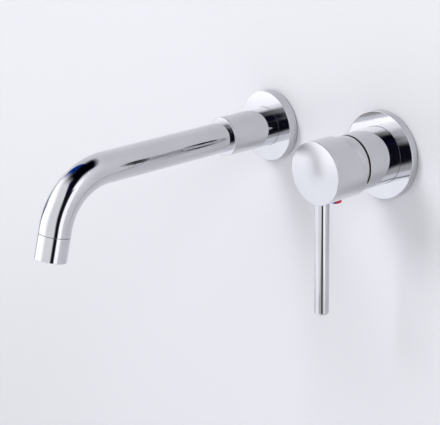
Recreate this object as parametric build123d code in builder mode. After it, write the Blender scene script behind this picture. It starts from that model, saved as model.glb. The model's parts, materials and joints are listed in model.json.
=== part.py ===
from build123d import *
import math
import os

# Wall-mounted basin mixer: a bent spout and a single-lever valve side by side, on one body set in the wall.
# Frame: +Y points into the wall, the room is on -Y, +Z is up.
# The origin is on the valve axis, on the finished wall surface.
# Lengths are millimetres. An "out" value is a distance in front of the finished wall, so negative is in the wall.

# Layout
SPOUT_OFFSET = 110.0
SPOUT_REACH = 204.0
HANDLE_TILT = 25.0

# Gaps between pieces
SLIDE_GAP = 0.05
PART_GAP = 0.1
DISC_GAP = 0.02

# Spout tube and collar
TUBE_R = 11.0
TUBE_WALL = 1.5
TUBE_BACK_OUT = 2.0
BEND_R = 44.0
BEND_ANGLE = 75.0
TUBE_TAIL = 5.0
COLLAR_WALL = 3.2
COLLAR_BACK_OUT = 1.0
COLLAR_LENGTH = 49.6
COLLAR_ROUND = 0.7
SPOUT_SCREW_R = 2.5
SPOUT_SCREW_OUT = 15.0

# Outlet ring and aerator, measured back from the mouth
OUTLET_LENGTH = 17.0
OUTLET_WALL = 1.8
OUTLET_BORE_DEPTH = 14.0
OUTLET_SPIGOT = 4.5
SPIGOT_WALL = 2.45
MOUTH_ROUND = 0.4
AERATOR_RECESS = 1.0
AERATOR_WALL = 1.2
WASHER_THICK = 1.6
GRID_THICK = 3.0
GRID_CELL_R = 0.75
GRID_PITCH_R = 0.95
GRID_ROWS = 9
SCREEN_THICK = 0.6
SCREEN_HOLE_R = 0.9
SCREEN_EDGE = 2.3
SCREEN_STEP = 2.6
SCREEN_HOLES = 12

# Wall flanges
SPOUT_FLANGE_R = 26.0
SPOUT_FLANGE_THICK = 7.4
VALVE_FLANGE_R = 30.5
VALVE_FLANGE_THICK = 5.6
FLANGE_WALL = 1.6
FLANGE_EDGE = 0.5
SEAL_THICK = 0.6
SEAL_WIDTH = 3.6
SEAL_INSET = 0.4

# Cartridge, stacked outwards from the floor of its chamber
CHAMBER_FLOOR_OUT = 8.0
CARTRIDGE_R = 14.0
CARTRIDGE_WALL = 1.5
CARTRIDGE_LID = 2.9
BASE_FOOT = 2.0
BASE_THICK = 5.0
DISC_THICK = 4.0
MOVING_DISC_THICK = 3.48
DISC_MARGIN = 0.2
CARRIER_THICK = 8.0
CARRIER_TOP = 3.5
HOLDER_FLANGE = 2.1
PORT_R = 2.8
PORT_WEB = 0.2
PORT_EDGE = 0.5
OUTLET_PORT_R = 3.2
OUTLET_PORT_RISE = 4.0
MIX_POCKET_R = 6.0
MIX_POCKET_RISE = 1.0
MIX_POCKET_DEPTH = 1.8
SEAL_SECTION = 1.0
RING_SECTION = 0.75

# Spindle, its holder and its pin
SPINDLE_SIDE = 7.0
SPINDLE_FRONT = 24.0
SPINDLE_BACK = 5.0
SPINDLE_NECK_R = 2.0
BALL_ARM = 11.5
BALL_R = 2.8
BALL_GAP = 0.07
BALL_DEPTH = 2.2
PIN_R = 1.25
PIN_INSET = 0.4
HOLDER_NECK_R = 9.0
HOLDER_REACH = 6.0
SWING_GAP = 0.5
RAIL_INNER = 7.5
RAIL_WIDTH = 1.8
RAIL_LENGTH = 16.0
RAIL_DEPTH = 3.6

# Retaining nut
NUT_LIP = 1.4
NUT_THREAD = 4.5
NUT_HEX_R = 14.5
NUT_HEX = 2.5
NUT_GAP = 0.6

# Neck of the body, cover ring and sleeve, one round the other
NECK_WALL = 1.55
NECK_SETBACK = 0.5
SKIRT_WALL = 1.3
SKIRT_LENGTH = 6.3
SKIRT_GAP = 0.15
SLEEVE_WALL = 1.5
SLEEVE_BACK_OUT = 1.0
SLEEVE_SETBACK = 2.6
SLEEVE_EDGE = 0.25
COVER_INSET = 0.5
COVER_WALL = 1.6
COVER_GAP = 1.2
COVER_REACH = 11.5

# Handle
KNOB_COVER_GAP = 0.5
KNOB_WALL = 1.5
KNOB_BACK_GAP = 2.9
KNOB_LENGTH = 29.7
KNOB_EDGE = 0.6
CROWN_R = 150.0
RELIEF_START_DROP = 9.0
RELIEF_SPARE = 1.2
BOSS_R = 9.5
BOSS_GAP = 0.7
LEVER_R = 5.0
LEVER_SETBACK = 7.0
LEVER_LENGTH = 79.5
LEVER_TIP_ROUND = 2.0
LEVER_SEAT_DEPTH = 1.2
LEVER_SHOULDER = 1.0
LEVER_STUB_LENGTH = 9.0
CLAMP_SETBACK = 20.0
CLAMP_SCREW_R = 3.0
CLAMP_SCREW_LENGTH = 6.5
CLAMP_SCREW_TIP = 1.8
PLUG_R = 4.0
PLUG_LENGTH = 5.0
PLUG_PROUD = 2.8
PLUG_ROUND = 1.0

# Body in the wall
DRUM_R = 24.0
DRUM_FRONT_OUT = -4.0
BODY_BACK_OUT = -48.0
THREAD_BORE_R = 9.3155
INLET_OFFSET = 30.0
INLET_OUT = -20.0
INLET_R = 13.5
INLET_END_DROP = 50.0
INLET_TOP = 3.0
INLET_HEX_R = 16.0
INLET_HEX = 11.0
INLET_THREAD = 16.0
INLET_WATERWAY_R = 5.5
BAR_R = 10.0
BAR_BORE_R = 4.0
BAR_WEB = 2.0
ARM_OUT = -36.0
ARM_RISE = 3.0
ARM_R = 9.0
ARM_BORE_R = 5.0
ELBOW_R = 13.5
ELBOW_FRONT_OUT = -6.0
ELBOW_THREAD = 16.0
ELBOW_BORE_R = 7.0
ELBOW_FLOOR = 6.0

# Nipple that carries the spout
NIPPLE_THREAD = 14.0
NIPPLE_BORE_R = 5.5
NIPPLE_HEX_R = 12.0
NIPPLE_HEX = 4.0
NIPPLE_FRONT_OUT = 44.0
NIPPLE_GROOVE_DEPTH = 1.25
NIPPLE_GROOVE = 6.5
NIPPLE_RING_SETBACKS = (8.0, 17.0)

# Wall bracket and its screws
BRACKET_THICK = 2.5
BRACKET_MARGIN = 12.0
BRACKET_CORNER = 8.0
BRACKET_HOLE_R = 3.25
BRACKET_HOLE_GAP = 8.0
BRACKET_WAIST = 46.0
BODY_SCREW_R = 2.0
BODY_SCREW_LENGTH = 7.0
BODY_SCREW_HEAD_R = 4.0
BODY_SCREW_SOCKET_R = 1.4
BODY_SCREW_SOCKET = 1.5
BODY_SCREW_PITCH = 12.0
COUNTERSINK = 45.0

# The handle leans by half of its tilt, down with the valve shut and up with it open
lean = math.radians(HANDLE_TILT / 2)
disc_shift = BALL_ARM * math.sin(lean)

# Places along the valve axis, from the chamber's floor to the front of the knob
housing_out = CHAMBER_FLOOR_OUT + BASE_FOOT
fixed_disc_out = CHAMBER_FLOOR_OUT + BASE_THICK
moving_disc_out = fixed_disc_out + DISC_THICK + DISC_GAP
carrier_out = moving_disc_out + MOVING_DISC_THICK
carrier_front_out = carrier_out + CARRIER_THICK
holder_out = carrier_front_out + 4 * PART_GAP
cartridge_front_out = holder_out + HOLDER_FLANGE + PART_GAP + CARTRIDGE_LID
neck_front_out = cartridge_front_out + NUT_THREAD - NECK_SETBACK
pivot_out = carrier_front_out - BALL_DEPTH + BALL_ARM * math.cos(lean)
holder_front_out = pivot_out + HOLDER_REACH
sleeve_front_out = pivot_out - SLEEVE_SETBACK
cover_back_out = sleeve_front_out + COVER_GAP
cover_front_out = pivot_out + COVER_REACH
knob_back_out = sleeve_front_out + KNOB_BACK_GAP
knob_front_out = knob_back_out + KNOB_LENGTH
lever_out = knob_front_out - LEVER_SETBACK
clamp_out = knob_front_out - CLAMP_SETBACK

# Radii about the valve axis, from the cartridge to the knob
cartridge_bore_r = CARTRIDGE_R - CARTRIDGE_WALL
holder_flange_r = cartridge_bore_r - 2 * PART_GAP
moving_disc_r = cartridge_bore_r - disc_shift - DISC_MARGIN
chamber_r = CARTRIDGE_R + PART_GAP
nut_r = CARTRIDGE_R + NUT_LIP
neck_r = nut_r + SLIDE_GAP + NECK_WALL
skirt_r = neck_r + SLIDE_GAP + SKIRT_WALL
sleeve_bore_r = skirt_r + SKIRT_GAP
sleeve_r = sleeve_bore_r + SLEEVE_WALL
cover_r = sleeve_r - COVER_INSET
cavity_r = cover_r + KNOB_COVER_GAP
knob_r = cavity_r + KNOB_WALL

# Radii about the spout's axis
tube_bore_r = TUBE_R - TUBE_WALL
spigot_r = tube_bore_r - SLIDE_GAP
waterway_r = spigot_r - SPIGOT_WALL
collar_r = TUBE_R + SLIDE_GAP + COLLAR_WALL
screw_groove_r = spigot_r - NIPPLE_GROOVE_DEPTH
ring_groove_r = tube_bore_r - 2 * RING_SECTION
outlet_bore_r = TUBE_R - OUTLET_WALL
aerator_r = outlet_bore_r - PART_GAP
aerator_bore_r = aerator_r - AERATOR_WALL

# Places along the spout
bend = math.radians(BEND_ANGLE)
tail_length = TUBE_TAIL + OUTLET_LENGTH
bend_start_out = SPOUT_REACH - BEND_R * math.sin(bend) - tail_length * math.cos(bend)
mouth_drop = BEND_R * (1 - math.cos(bend)) + tail_length * math.sin(bend)

# Ports of the cartridge: cold and hot side by side below the axis, the mixed outlet above it
port_circle_r = cartridge_bore_r - PORT_EDGE - SEAL_SECTION - PORT_R
inlet_port_x = PORT_R + SEAL_SECTION + PORT_WEB / 2
inlet_port_drop = math.sqrt(port_circle_r**2 - inlet_port_x**2)
ports = (
    (-inlet_port_x, -inlet_port_drop, PORT_R),
    (inlet_port_x, -inlet_port_drop, PORT_R),
    (0, OUTLET_PORT_RISE, OUTLET_PORT_R),
)

os.makedirs("parts", exist_ok=True)


def facing_room(out, x=0.0, z=0.0):
    """A plane parallel to the wall, out from it, whose normal points into the room."""
    return Plane(origin=(x, -out, z), x_dir=(1, 0, 0), z_dir=(0, -1, 0))


def up_spout(back):
    """A plane across the outlet, back from the mouth, whose normal points up the tube."""
    axis = Vector(0, math.cos(bend), math.sin(bend))
    mouth = Vector(-SPOUT_OFFSET, -SPOUT_REACH, -mouth_drop)
    return Plane(origin=mouth + axis * back, x_dir=(1, 0, 0), z_dir=axis)


def along_spindle(front):
    """A plane across the spindle, in front of its pin, at the lean that it has with the valve shut."""
    axis = Vector(0, -math.cos(lean), -math.sin(lean))
    pivot = Vector(0, -pivot_out, 0)
    return Plane(origin=pivot + axis * front, x_dir=(1, 0, 0), z_dir=axis)


def looking_up(drop, x, out):
    """A level plane below the valve axis, whose normal points up."""
    return Plane(origin=(x, -out, -drop), x_dir=(1, 0, 0), z_dir=(0, 0, 1))


def looking_across(x, out, z, side=1):
    """A plane square to the wall, whose normal points right, or left for a side of -1."""
    return Plane(origin=(x, -out, z), x_dir=(0, 1, 0), z_dir=(side, 0, 0))


def save(piece, name):
    """Label a finished piece and write it."""
    piece.part.label = name
    export_step(piece.part, f"parts/{name}.step")


# Spout tube: one bend, open at both ends
with BuildPart() as spout_tube:
    with BuildLine() as spout_path:
        run = Line((-SPOUT_OFFSET, -TUBE_BACK_OUT, 0), (-SPOUT_OFFSET, -bend_start_out, 0))
        bend_centre = Vector(-SPOUT_OFFSET, -bend_start_out, -BEND_R)
        half_way = bend_centre + Vector(0, -BEND_R * math.sin(bend / 2), BEND_R * math.cos(bend / 2))
        bend_end = bend_centre + Vector(0, -BEND_R * math.sin(bend), BEND_R * math.cos(bend))
        ThreePointArc(run @ 1, half_way, bend_end)
        Line(bend_end, bend_end + Vector(0, -math.cos(bend), -math.sin(bend)) * TUBE_TAIL)
    with BuildSketch(facing_room(TUBE_BACK_OUT, -SPOUT_OFFSET)):
        Circle(TUBE_R)
        Circle(tube_bore_r, mode=Mode.SUBTRACT)
    sweep(path=spout_path.wires()[0])
    with BuildSketch(looking_up(collar_r, -SPOUT_OFFSET, SPOUT_SCREW_OUT)):
        Circle(SPOUT_SCREW_R + SLIDE_GAP)
    extrude(amount=collar_r, mode=Mode.SUBTRACT)
save(spout_tube, "spout_tube")

# Spout collar: the thicker sleeve over the back of the tube, rounded in front
with BuildPart() as spout_collar:
    with BuildSketch(facing_room(COLLAR_BACK_OUT, -SPOUT_OFFSET)):
        Circle(collar_r)
    extrude(amount=COLLAR_LENGTH)
    fillet(spout_collar.faces().sort_by(Axis.Y)[0].edges(), radius=COLLAR_ROUND)
    with BuildSketch(facing_room(COLLAR_BACK_OUT, -SPOUT_OFFSET)):
        Circle(TUBE_R + SLIDE_GAP)
    extrude(amount=COLLAR_LENGTH, mode=Mode.SUBTRACT)
    with BuildSketch(looking_up(collar_r, -SPOUT_OFFSET, SPOUT_SCREW_OUT)):
        Circle(SPOUT_SCREW_R + SLIDE_GAP)
    extrude(amount=collar_r, mode=Mode.SUBTRACT)
save(spout_collar, "spout_collar")

# Spout screw: a socket set screw from below, which holds the spout on its nipple
with BuildPart() as spout_grub_screw:
    with BuildSketch(looking_up(collar_r - PART_GAP, -SPOUT_OFFSET, SPOUT_SCREW_OUT)):
        Circle(SPOUT_SCREW_R)
    extrude(amount=collar_r - 2 * PART_GAP - screw_groove_r)
    with BuildSketch(looking_up(collar_r - PART_GAP, -SPOUT_OFFSET, SPOUT_SCREW_OUT)):
        RegularPolygon(SPOUT_SCREW_R / 2, 6)
    extrude(amount=SPOUT_SCREW_R, mode=Mode.SUBTRACT)
save(spout_grub_screw, "spout_grub_screw")


def wall_flange(x, flange_r, thick, hole_r):
    """A turned cover plate, hollow behind, that stands on its seal."""
    with BuildPart() as flange:
        with BuildSketch(facing_room(SEAL_THICK, x)):
            Circle(flange_r)
        extrude(amount=thick)
        fillet(flange.faces().sort_by(Axis.Y)[0].edges(), radius=FLANGE_EDGE)
        with BuildSketch(facing_room(SEAL_THICK, x)):
            Circle(flange_r - SEAL_WIDTH)
        extrude(amount=thick - FLANGE_WALL, mode=Mode.SUBTRACT)
        with BuildSketch(facing_room(SEAL_THICK, x)):
            Circle(hole_r)
        extrude(amount=thick, mode=Mode.SUBTRACT)
    return flange


def flange_seal(x, flange_r):
    """The flat ring between a flange and the wall."""
    with BuildPart() as seal:
        with BuildSketch(facing_room(0, x)):
            Circle(flange_r - SEAL_INSET)
            Circle(flange_r - SEAL_WIDTH, mode=Mode.SUBTRACT)
        extrude(amount=SEAL_THICK)
    return seal


# Wall flanges and their seals
spout_flange = wall_flange(-SPOUT_OFFSET, SPOUT_FLANGE_R, SPOUT_FLANGE_THICK, collar_r + PART_GAP)
save(spout_flange, "spout_flange")
spout_flange_seal = flange_seal(-SPOUT_OFFSET, SPOUT_FLANGE_R)
save(spout_flange_seal, "spout_flange_seal")
valve_flange = wall_flange(0, VALVE_FLANGE_R, VALVE_FLANGE_THICK, sleeve_r + PART_GAP)
save(valve_flange, "valve_flange")
valve_flange_seal = flange_seal(0, VALVE_FLANGE_R)
save(valve_flange_seal, "valve_flange_seal")

# Outlet ring: screwed into the end of the tube, it holds the aerator
ring_groove_back = OUTLET_LENGTH + OUTLET_SPIGOT / 2
with BuildPart() as outlet_ring:
    with BuildSketch(up_spout(0)):
        Circle(TUBE_R)
    extrude(amount=OUTLET_LENGTH)
    fillet(outlet_ring.faces().sort_by(Axis.Z)[0].edges(), radius=MOUTH_ROUND)
    with BuildSketch(up_spout(OUTLET_LENGTH)):
        Circle(spigot_r)
    extrude(amount=OUTLET_SPIGOT)
    with BuildSketch(up_spout(0)):
        Circle(outlet_bore_r)
    extrude(amount=OUTLET_BORE_DEPTH, mode=Mode.SUBTRACT)
    with BuildSketch(up_spout(0)):
        Circle(waterway_r)
    extrude(amount=OUTLET_LENGTH + OUTLET_SPIGOT, mode=Mode.SUBTRACT)
    with BuildSketch(up_spout(ring_groove_back - RING_SECTION)):
        Circle(tube_bore_r)
        Circle(ring_groove_r, mode=Mode.SUBTRACT)
    extrude(amount=2 * RING_SECTION, mode=Mode.SUBTRACT)
save(outlet_ring, "outlet_ring")

# Outlet seal: the rubber ring in the groove of the outlet ring's spigot
with BuildPart(up_spout(ring_groove_back)) as outlet_o_ring:
    Torus(tube_bore_r - RING_SECTION, RING_SECTION - SLIDE_GAP)
save(outlet_o_ring, "outlet_o_ring")

# Aerator: a moulded cup with a flow grid at the mouth, a screen behind it and a washer on top
aerator_length = OUTLET_BORE_DEPTH - AERATOR_RECESS - WASHER_THICK
outer_holes_r = aerator_bore_r - SCREEN_EDGE
inner_holes_r = outer_holes_r - SCREEN_STEP
with BuildPart() as aerator_body:
    with BuildSketch(up_spout(AERATOR_RECESS)):
        Circle(aerator_r)
        Circle(aerator_bore_r, mode=Mode.SUBTRACT)
    extrude(amount=aerator_length)
    with BuildSketch(up_spout(AERATOR_RECESS + aerator_length / 2)):
        Circle(aerator_bore_r)
        with PolarLocations(outer_holes_r, SCREEN_HOLES // 2):
            Circle(SCREEN_HOLE_R, mode=Mode.SUBTRACT)
    extrude(amount=AERATOR_WALL)
save(aerator_body, "aerator_body")

with BuildPart() as flow_grid:
    with BuildSketch(up_spout(AERATOR_RECESS + PART_GAP)):
        Circle(aerator_bore_r - SLIDE_GAP)
        rim_r = aerator_bore_r - 2 * GRID_CELL_R
        with HexLocations(GRID_PITCH_R, GRID_ROWS, GRID_ROWS) as grid:
            cells = [cell for cell in grid.local_locations if cell.position.length < rim_r]
        with Locations(cells):
            RegularPolygon(GRID_CELL_R, 6, mode=Mode.SUBTRACT)
    extrude(amount=GRID_THICK)
save(flow_grid, "flow_grid")

with BuildPart() as aerator_screen:
    with BuildSketch(up_spout(AERATOR_RECESS + aerator_length - SCREEN_THICK)):
        Circle(aerator_bore_r - SLIDE_GAP)
        with PolarLocations(outer_holes_r, SCREEN_HOLES):
            Circle(SCREEN_HOLE_R, mode=Mode.SUBTRACT)
        with PolarLocations(inner_holes_r, SCREEN_HOLES // 2):
            Circle(SCREEN_HOLE_R, mode=Mode.SUBTRACT)
    extrude(amount=SCREEN_THICK)
save(aerator_screen, "aerator_screen")

with BuildPart() as aerator_washer:
    with BuildSketch(up_spout(OUTLET_BORE_DEPTH - WASHER_THICK)):
        Circle(aerator_r)
        Circle(waterway_r, mode=Mode.SUBTRACT)
    extrude(amount=WASHER_THICK)
save(aerator_washer, "aerator_washer")

# Nipple: screwed into the body's elbow, it passes the wall and carries the spout on two rubber rings
nipple_back_out = ELBOW_FRONT_OUT - NIPPLE_THREAD
nipple_ring_outs = [NIPPLE_FRONT_OUT - setback for setback in NIPPLE_RING_SETBACKS]
with BuildPart() as spout_nipple:
    with BuildSketch(facing_room(nipple_back_out, -SPOUT_OFFSET)):
        Circle(THREAD_BORE_R - SLIDE_GAP)
    extrude(amount=NIPPLE_THREAD)
    with BuildSketch(facing_room(ELBOW_FRONT_OUT, -SPOUT_OFFSET)):
        RegularPolygon(NIPPLE_HEX_R, 6)
    extrude(amount=NIPPLE_HEX)
    with BuildSketch(facing_room(ELBOW_FRONT_OUT, -SPOUT_OFFSET)):
        Circle(spigot_r)
    extrude(amount=NIPPLE_FRONT_OUT - ELBOW_FRONT_OUT)
    with BuildSketch(facing_room(nipple_back_out, -SPOUT_OFFSET)):
        Circle(NIPPLE_BORE_R)
    extrude(amount=NIPPLE_FRONT_OUT - nipple_back_out, mode=Mode.SUBTRACT)
    with BuildSketch(facing_room(SPOUT_SCREW_OUT - NIPPLE_GROOVE / 2, -SPOUT_OFFSET)):
        Circle(tube_bore_r)
        Circle(screw_groove_r, mode=Mode.SUBTRACT)
    extrude(amount=NIPPLE_GROOVE, mode=Mode.SUBTRACT)
    for ring_out in nipple_ring_outs:
        with BuildSketch(facing_room(ring_out - RING_SECTION, -SPOUT_OFFSET)):
            Circle(tube_bore_r)
            Circle(ring_groove_r, mode=Mode.SUBTRACT)
        extrude(amount=2 * RING_SECTION, mode=Mode.SUBTRACT)
save(spout_nipple, "spout_nipple")

with BuildPart() as nipple_o_rings:
    for ring_out in nipple_ring_outs:
        with Locations(facing_room(ring_out, -SPOUT_OFFSET)):
            Torus(tube_bore_r - RING_SECTION, RING_SECTION - SLIDE_GAP)
save(nipple_o_rings, "nipple_o_rings")

# Valve sleeve: the plain cylinder between the flange and the handle
with BuildPart() as valve_sleeve:
    with BuildSketch(facing_room(SLEEVE_BACK_OUT)):
        Circle(sleeve_r)
        Circle(sleeve_bore_r, mode=Mode.SUBTRACT)
    extrude(amount=sleeve_front_out - SLEEVE_BACK_OUT)
    chamfer(valve_sleeve.faces().sort_by(Axis.Y)[0].outer_wire().edges(), length=SLEEVE_EDGE)
save(valve_sleeve, "valve_sleeve")

# Sleeve ring: a rubber ring that centres the sleeve on the neck of the body
sleeve_ring_section = (sleeve_bore_r - neck_r + RING_SECTION) / 2
sleeve_ring_out = CHAMBER_FLOOR_OUT + 2 * sleeve_ring_section
with BuildPart(facing_room(sleeve_ring_out)) as sleeve_o_ring:
    Torus(sleeve_bore_r - sleeve_ring_section, sleeve_ring_section - SLIDE_GAP)
save(sleeve_o_ring, "sleeve_o_ring")

# Cover ring: part of a ball about the handle's pivot, seen in the handle's relief
with BuildPart() as cover_ring:
    with Locations(facing_room(pivot_out)):
        Sphere(cover_r)
    with BuildSketch(facing_room(cover_front_out)):
        Circle(cover_r)
    extrude(amount=cover_r, mode=Mode.SUBTRACT)
    with BuildSketch(facing_room(cover_back_out)):
        Circle(cover_r)
    extrude(amount=-cover_r, mode=Mode.SUBTRACT)
    with BuildSketch(facing_room(cover_back_out - SKIRT_LENGTH)):
        Circle(skirt_r)
    extrude(amount=SKIRT_LENGTH)
    with BuildSketch(facing_room(cover_back_out - SKIRT_LENGTH)):
        Circle(neck_r + SLIDE_GAP)
    extrude(amount=SKIRT_LENGTH, mode=Mode.SUBTRACT)
    with Locations(facing_room(pivot_out)):
        Sphere(cover_r - COVER_WALL, mode=Mode.SUBTRACT)
save(cover_ring, "cover_ring")

# Handle knob: hollow over the cover ring, relieved behind its top so that it can tilt back
boss_back = HOLDER_REACH * math.cos(lean) + HOLDER_NECK_R * math.sin(lean) + BOSS_GAP
relief_top = knob_r + KNOB_WALL
relief_slope = knob_r * math.tan(math.radians(HANDLE_TILT + RELIEF_SPARE)) / (knob_r + RELIEF_START_DROP)
relief_depth = (relief_top + RELIEF_START_DROP) * relief_slope
seat_drop = knob_r - LEVER_SEAT_DEPTH
crown = CROWN_R - math.sqrt(CROWN_R**2 - knob_r**2)
with BuildPart() as handle_knob:
    with BuildSketch(facing_room(knob_back_out)):
        Circle(knob_r)
    extrude(amount=KNOB_LENGTH + crown)
    with Locations(facing_room(knob_front_out + crown - CROWN_R)):
        Sphere(CROWN_R, mode=Mode.INTERSECT)
    fillet(handle_knob.faces().sort_by(Axis.Y)[0].edges(), radius=KNOB_EDGE)
    with BuildSketch(Plane.YZ):
        with BuildLine():
            Polyline(
                (-knob_back_out, -RELIEF_START_DROP),
                (-knob_back_out - relief_depth, relief_top),
                (0, relief_top),
                (0, -RELIEF_START_DROP),
                close=True,
            )
        make_face()
    extrude(amount=knob_r, both=True, mode=Mode.SUBTRACT)
    with Locations(facing_room(pivot_out)):
        Sphere(cavity_r, mode=Mode.SUBTRACT)
    with BuildSketch(along_spindle(boss_back)):
        Circle(BOSS_R)
    extrude(amount=SPINDLE_FRONT - boss_back)
    with BuildSketch(along_spindle(boss_back)):
        Rectangle(SPINDLE_SIDE + PART_GAP, SPINDLE_SIDE + PART_GAP)
    extrude(amount=SPINDLE_FRONT + PART_GAP - boss_back, mode=Mode.SUBTRACT)
    with BuildSketch(looking_up(knob_r, 0, lever_out)):
        Circle(LEVER_R + SLIDE_GAP)
    extrude(amount=LEVER_SEAT_DEPTH, mode=Mode.SUBTRACT)
    with BuildSketch(looking_up(seat_drop, 0, lever_out)):
        Circle(LEVER_R - LEVER_SHOULDER + SLIDE_GAP)
    extrude(amount=LEVER_STUB_LENGTH + PART_GAP, mode=Mode.SUBTRACT)
    with BuildSketch(looking_up(knob_r, 0, clamp_out)):
        Circle(PLUG_R + SLIDE_GAP)
    extrude(amount=PLUG_LENGTH, mode=Mode.SUBTRACT)
    with BuildSketch(looking_up(knob_r, 0, clamp_out)):
        Circle(CLAMP_SCREW_R + SLIDE_GAP)
    extrude(amount=knob_r - SPINDLE_SIDE / 2, mode=Mode.SUBTRACT)
save(handle_knob, "handle_knob")

# Handle lever: a plain rod screwed into the underside of the knob
lever_end_drop = knob_r + LEVER_LENGTH
with BuildPart() as handle_lever:
    with BuildSketch(looking_up(lever_end_drop, 0, lever_out)):
        Circle(LEVER_R)
    extrude(amount=lever_end_drop - seat_drop)
    fillet(handle_lever.faces().sort_by(Axis.Z)[0].edges(), radius=LEVER_TIP_ROUND)
    with BuildSketch(looking_up(seat_drop, 0, lever_out)):
        Circle(LEVER_R - LEVER_SHOULDER)
    extrude(amount=LEVER_STUB_LENGTH)
save(handle_lever, "handle_lever")

# Clamp screw: a cone-point set screw against the underside of the spindle
clamp_point_out = clamp_out + CLAMP_SCREW_R - CLAMP_SCREW_TIP - pivot_out
clamp_top_drop = clamp_point_out * math.tan(lean) + SPINDLE_SIDE / 2 / math.cos(lean) + PART_GAP
clamp_end_drop = clamp_top_drop + CLAMP_SCREW_LENGTH
with BuildPart() as handle_grub_screw:
    with BuildSketch(looking_up(clamp_end_drop, 0, clamp_out)):
        Circle(CLAMP_SCREW_R)
    extrude(amount=CLAMP_SCREW_LENGTH)
    chamfer(handle_grub_screw.faces().sort_by(Axis.Z)[-1].edges(), length=CLAMP_SCREW_TIP)
    with BuildSketch(looking_up(clamp_end_drop, 0, clamp_out)):
        RegularPolygon(CLAMP_SCREW_R / 2, 6)
    extrude(amount=CLAMP_SCREW_R, mode=Mode.SUBTRACT)
save(handle_grub_screw, "handle_grub_screw")

# Index plug: closes the clamp screw's hole under the knob and shows the hot and cold sides
with BuildPart() as index_plug:
    with BuildSketch(looking_up(knob_r + PLUG_PROUD, 0, clamp_out)):
        Circle(PLUG_R)
    extrude(amount=PLUG_LENGTH)
    fillet(index_plug.faces().sort_by(Axis.Z)[0].edges(), radius=PLUG_ROUND)
save(index_plug, "index_plug")

# Spindle: a square bar that turns on the pin, with a ball behind that pushes the carrier
with BuildPart() as spindle:
    with BuildSketch(along_spindle(-SPINDLE_BACK)):
        Rectangle(SPINDLE_SIDE, SPINDLE_SIDE)
    extrude(amount=SPINDLE_FRONT + SPINDLE_BACK)
    with BuildSketch(along_spindle(-BALL_ARM)):
        Circle(SPINDLE_NECK_R)
    extrude(amount=BALL_ARM - SPINDLE_BACK)
    with Locations(along_spindle(-BALL_ARM)):
        Sphere(BALL_R)
    with BuildSketch(looking_across(-SPINDLE_SIDE, pivot_out, 0)):
        Circle(PIN_R + SLIDE_GAP)
    extrude(amount=2 * SPINDLE_SIDE, mode=Mode.SUBTRACT)
save(spindle, "spindle")

# Pivot pin: it crosses the holder and the spindle
pin_half = HOLDER_NECK_R - PIN_INSET
with BuildPart() as pivot_pin:
    with BuildSketch(looking_across(-pin_half, pivot_out, 0)):
        Circle(PIN_R)
    extrude(amount=2 * pin_half)
save(pivot_pin, "pivot_pin")

# Spindle holder: turns in the cartridge and guides the carrier between two rails
rail_x = RAIL_INNER + RAIL_WIDTH / 2
slot_height = SPINDLE_SIDE / math.cos(lean) + 2 * HOLDER_REACH * math.tan(lean) + 2 * SWING_GAP
with BuildPart() as spindle_holder:
    with BuildSketch(facing_room(holder_out)):
        Circle(holder_flange_r)
    extrude(amount=HOLDER_FLANGE)
    with BuildSketch(facing_room(holder_out)):
        Circle(HOLDER_NECK_R)
    extrude(amount=holder_front_out - holder_out)
    with BuildSketch(facing_room(holder_out - RAIL_DEPTH)):
        with Locations((-rail_x, 0), (rail_x, 0)):
            Rectangle(RAIL_WIDTH, RAIL_LENGTH)
        Circle(holder_flange_r, mode=Mode.INTERSECT)
    extrude(amount=RAIL_DEPTH)
    with BuildSketch(facing_room(holder_out)):
        Rectangle(SPINDLE_SIDE + 2 * SLIDE_GAP, slot_height)
    extrude(amount=holder_front_out - holder_out, mode=Mode.SUBTRACT)
    with BuildSketch(looking_across(-HOLDER_NECK_R, pivot_out, 0)):
        Circle(PIN_R + DISC_GAP)
    extrude(amount=2 * HOLDER_NECK_R, mode=Mode.SUBTRACT)
save(spindle_holder, "spindle_holder")

# Carrier: moved by the spindle's ball, it takes the upper disc with it
ball_rear_out = pivot_out - BALL_ARM - BALL_R
with BuildPart() as disc_carrier:
    with BuildSketch(facing_room(carrier_out, z=disc_shift)):
        Circle(moving_disc_r)
    extrude(amount=CARRIER_THICK - CARRIER_TOP)
    with BuildSketch(facing_room(carrier_front_out - CARRIER_TOP, z=disc_shift)):
        Circle(moving_disc_r)
        Rectangle(2 * (RAIL_INNER - PART_GAP), 2 * moving_disc_r, mode=Mode.INTERSECT)
    extrude(amount=CARRIER_TOP)
    with BuildSketch(facing_room(ball_rear_out - 2 * PART_GAP, z=disc_shift)):
        Circle(BALL_R + BALL_GAP)
    extrude(amount=carrier_front_out - ball_rear_out + 2 * PART_GAP, mode=Mode.SUBTRACT)
save(disc_carrier, "disc_carrier")

# Moving disc: a ceramic disc with the mixing pocket in its face
with BuildPart() as moving_disc:
    with BuildSketch(facing_room(moving_disc_out, z=disc_shift)):
        Circle(moving_disc_r)
    extrude(amount=MOVING_DISC_THICK)
    with BuildSketch(facing_room(moving_disc_out, z=disc_shift + MIX_POCKET_RISE)):
        Circle(MIX_POCKET_R)
    extrude(amount=MIX_POCKET_DEPTH, mode=Mode.SUBTRACT)
save(moving_disc, "moving_disc")

# Fixed disc: a ceramic disc with two inlet ports and the mixed outlet
with BuildPart() as fixed_disc:
    with BuildSketch(facing_room(fixed_disc_out)):
        Circle(holder_flange_r)
        for port_x, port_z, port_r in ports:
            with Locations((port_x, port_z)):
                Circle(port_r, mode=Mode.SUBTRACT)
    extrude(amount=DISC_THICK)
save(fixed_disc, "fixed_disc")

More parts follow.
